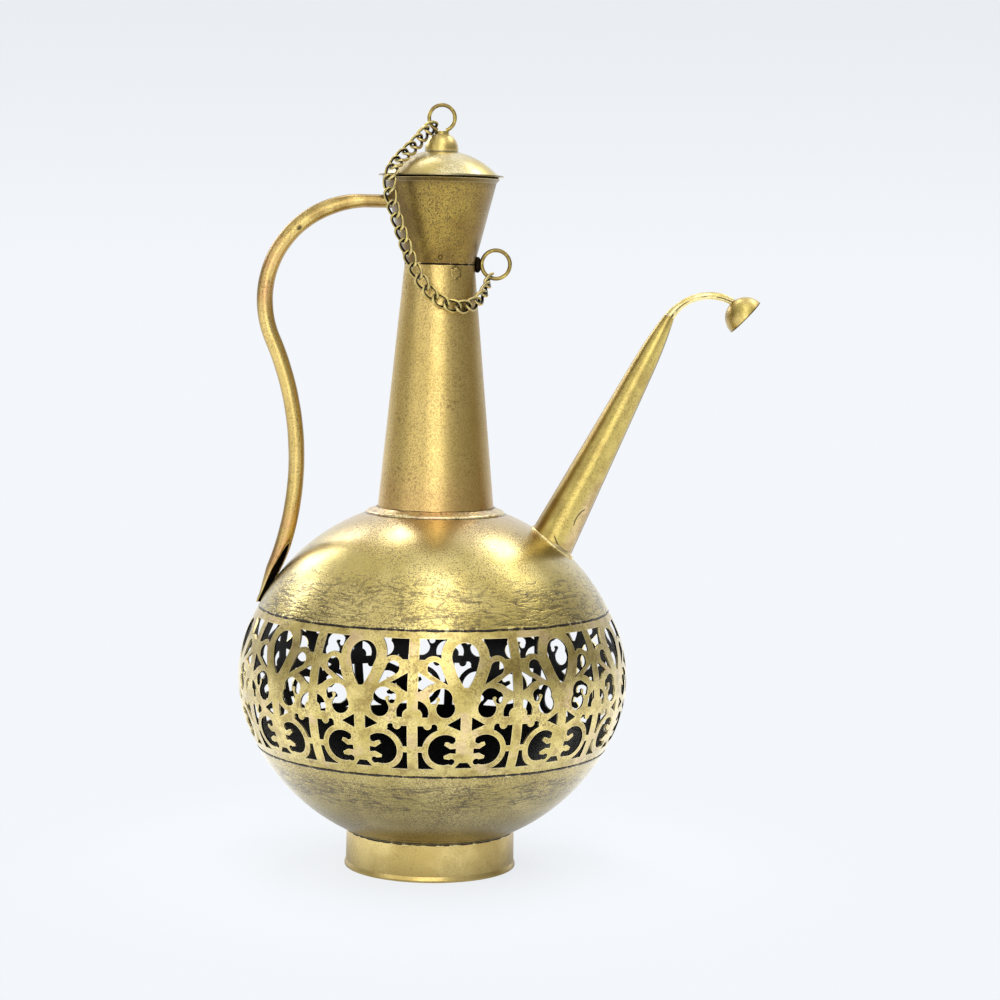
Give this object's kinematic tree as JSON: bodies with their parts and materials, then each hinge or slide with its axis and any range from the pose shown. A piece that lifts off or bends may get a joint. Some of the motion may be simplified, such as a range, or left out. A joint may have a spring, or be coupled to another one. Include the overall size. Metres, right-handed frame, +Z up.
{
  "type": "ewer",
  "caption": "Brass surahi ewer with a pierced scroll band, S-shaped tube handle, tapered spout with a gooseneck cup, and a domed lid tethered to the neck by a twisted curb chain",
  "frame": {"origin": "centre of the foot ring's lower edge, on the ground", "axes": "+Z up, +X from the axis to the spout, the handle on -X"},
  "size_m": [0.3336, 0.253, 0.4953],
  "materials": {
    "brass": "aged, satin, with brown specks",
    "dark_brass": "brown patina, satin",
    "pale_brass": "worn bright, satin",
    "copper_brass": "coppery, satin",
    "dark_solder": "dark, rough solder"
  },
  "bodies": {
    "body": {"foot_ring": "brass", "lower_bowl": "brass", "pierced_band": "brass", "shoulder_dome": "brass", "neck_collar": "brass", "neck_cone": "dark_brass", "mouth_funnel": "dark_brass", "waist_rivet": "dark_brass", "neck_lug": "dark_solder", "neck_ring": "dark_brass", "handle_tube": "copper_brass", "spout_flange": "brass", "spout_cone": "brass", "spout_gooseneck": "pale_brass", "spout_cup": "pale_brass"},
    "lid": {"lid_cap": "pale_brass", "lid_skirt": "dark_brass", "lid_knob": "pale_brass", "lid_ring": "dark_brass", "chain_link_01": "pale_brass", "chain_link_02": "pale_brass", "chain_link_03": "pale_brass", "chain_link_04": "pale_brass", "chain_link_05": "pale_brass", "chain_link_06": "pale_brass"},
    "link_07": {"chain_link_07": "pale_brass"},
    "link_08": {"chain_link_08": "pale_brass"},
    "link_09": {"chain_link_09": "pale_brass"},
    "link_10": {"chain_link_10": "pale_brass"},
    "link_11": {"chain_link_11": "pale_brass"},
    "link_12": {"chain_link_12": "pale_brass"},
    "link_13": {"chain_link_13": "pale_brass"},
    "link_14": {"chain_link_14": "pale_brass"},
    "link_15": {"chain_link_15": "pale_brass"},
    "link_16": {"chain_link_16": "pale_brass"},
    "link_17": {"chain_link_17": "pale_brass"},
    "link_18": {"chain_link_18": "pale_brass"},
    "link_19": {"chain_link_19": "pale_brass"},
    "link_20": {"chain_link_20": "pale_brass"},
    "link_21": {"chain_link_21": "pale_brass"},
    "link_22": {"chain_link_22": "pale_brass"},
    "link_23": {"chain_link_23": "pale_brass"},
    "link_24": {"chain_link_24": "pale_brass"}
  },
  "joints": [
    {"name": "lid_lift", "type": "slide", "parent": "body", "child": "lid", "axis": [0, 0, 1], "range_m": [0, 0.03]},
    {"name": "link_07_turn", "type": "hinge", "parent": "lid", "child": "link_07", "pos_m": [-0.02951, -0.03019, 0.45293], "axis": [0.3155, -0.7016, 0.6389], "range_deg": [0, 14.68]},
    {"name": "link_08_turn", "type": "hinge", "parent": "link_07", "child": "link_08", "pos_m": [-0.03147, -0.03443, 0.4462], "axis": [-0.7978, 0.0352, -0.6019], "range_deg": [0, 12.32]},
    {"name": "link_09_turn", "type": "hinge", "parent": "link_08", "child": "link_09", "pos_m": [-0.03138, -0.03553, 0.43809], "axis": [-0.201, 0.4522, -0.869], "range_deg": [0, 17.04]},
    {"name": "link_10_turn", "type": "hinge", "parent": "link_09", "child": "link_10", "pos_m": [-0.02953, -0.03488, 0.43009], "axis": [0.5941, 0.6132, -0.5206], "range_deg": [0, 16.81]},
    {"name": "link_11_turn", "type": "hinge", "parent": "link_10", "child": "link_11", "pos_m": [-0.02712, -0.03384, 0.42226], "axis": [-0.0771, 0.2216, 0.9721], "range_deg": [0, 17.22]},
    {"name": "link_12_turn", "type": "hinge", "parent": "link_11", "child": "link_12", "pos_m": [-0.02455, -0.033, 0.41446], "axis": [-0.6061, -0.1395, 0.783], "range_deg": [0, 17.39]},
    {"name": "link_13_turn", "type": "hinge", "parent": "link_12", "child": "link_13", "pos_m": [-0.02184, -0.03223, 0.4067], "axis": [-0.4866, -0.4496, 0.749], "range_deg": [0, 12.97]},
    {"name": "link_14_turn", "type": "hinge", "parent": "link_13", "child": "link_14", "pos_m": [-0.01905, -0.03164, 0.39896], "axis": [0.1091, -0.9802, 0.1652], "range_deg": [0, 2.75]},
    {"name": "link_15_turn", "type": "hinge", "parent": "link_14", "child": "link_15", "pos_m": [-0.016, -0.03122, 0.3913], "axis": [0.3064, 0.6871, -0.6588], "range_deg": [0, 3.6]},
    {"name": "link_16_turn", "type": "hinge", "parent": "link_15", "child": "link_16", "pos_m": [-0.01215, -0.03064, 0.38403], "axis": [0.0541, 0.9843, -0.1678], "range_deg": [0, 4.62]},
    {"name": "link_17_turn", "type": "hinge", "parent": "link_16", "child": "link_17", "pos_m": [-0.00754, -0.02999, 0.37722], "axis": [0.2127, 0.9764, -0.0364], "range_deg": [0, 10.9]},
    {"name": "link_18_turn", "type": "hinge", "parent": "link_17", "child": "link_18", "pos_m": [-0.00177, -0.02942, 0.37136], "axis": [0.5902, 0.7526, -0.2921], "range_deg": [0, 21.2]},
    {"name": "link_19_turn", "type": "hinge", "parent": "link_18", "child": "link_19", "pos_m": [0.00513, -0.02796, 0.36714], "axis": [0.8586, 0.2336, -0.4563], "range_deg": [0, 16.98]},
    {"name": "link_20_turn", "type": "hinge", "parent": "link_19", "child": "link_20", "pos_m": [0.01261, -0.02513, 0.36534], "axis": [-0.4963, -0.7204, -0.4845], "range_deg": [0, 17.79]},
    {"name": "link_21_turn", "type": "hinge", "parent": "link_20", "child": "link_21", "pos_m": [0.01948, -0.02073, 0.36614], "axis": [-0.8777, -0.454, -0.1535], "range_deg": [0, 33.49]},
    {"name": "link_22_turn", "type": "hinge", "parent": "link_21", "child": "link_22", "pos_m": [0.02518, -0.01566, 0.36924], "axis": [-0.959, -0.2268, 0.1697], "range_deg": [0, 12.62]},
    {"name": "link_23_turn", "type": "hinge", "parent": "link_22", "child": "link_23", "pos_m": [0.02874, -0.01027, 0.37428], "axis": [0.395, 0.7606, 0.5153], "range_deg": [0, 8.27]},
    {"name": "link_24_turn", "type": "hinge", "parent": "link_23", "child": "link_24", "pos_m": [0.03093, -0.00473, 0.37999], "axis": [0.9859, -0.1648, 0.0288], "range_deg": [0, 19.87]}
  ],
  "couplings": [
    {"joint": "link_07_turn", "follows": "lid_lift", "rad_per_m": 8.5366},
    {"joint": "link_08_turn", "follows": "lid_lift", "rad_per_m": 7.1689},
    {"joint": "link_09_turn", "follows": "lid_lift", "rad_per_m": 9.9105},
    {"joint": "link_10_turn", "follows": "lid_lift", "rad_per_m": 9.7792},
    {"joint": "link_11_turn", "follows": "lid_lift", "rad_per_m": 10.019},
    {"joint": "link_12_turn", "follows": "lid_lift", "rad_per_m": 10.116},
    {"joint": "link_13_turn", "follows": "lid_lift", "rad_per_m": 7.5433},
    {"joint": "link_14_turn", "follows": "lid_lift", "rad_per_m": 1.5985},
    {"joint": "link_15_turn", "follows": "lid_lift", "rad_per_m": 2.0912},
    {"joint": "link_16_turn", "follows": "lid_lift", "rad_per_m": 2.6873},
    {"joint": "link_17_turn", "follows": "lid_lift", "rad_per_m": 6.3394},
    {"joint": "link_18_turn", "follows": "lid_lift", "rad_per_m": 12.332},
    {"joint": "link_19_turn", "follows": "lid_lift", "rad_per_m": 9.8765},
    {"joint": "link_20_turn", "follows": "lid_lift", "rad_per_m": 10.347},
    {"joint": "link_21_turn", "follows": "lid_lift", "rad_per_m": 19.485},
    {"joint": "link_22_turn", "follows": "lid_lift", "rad_per_m": 7.3396},
    {"joint": "link_23_turn", "follows": "lid_lift", "rad_per_m": 4.8121},
    {"joint": "link_24_turn", "follows": "lid_lift", "rad_per_m": 11.561}
  ]
}
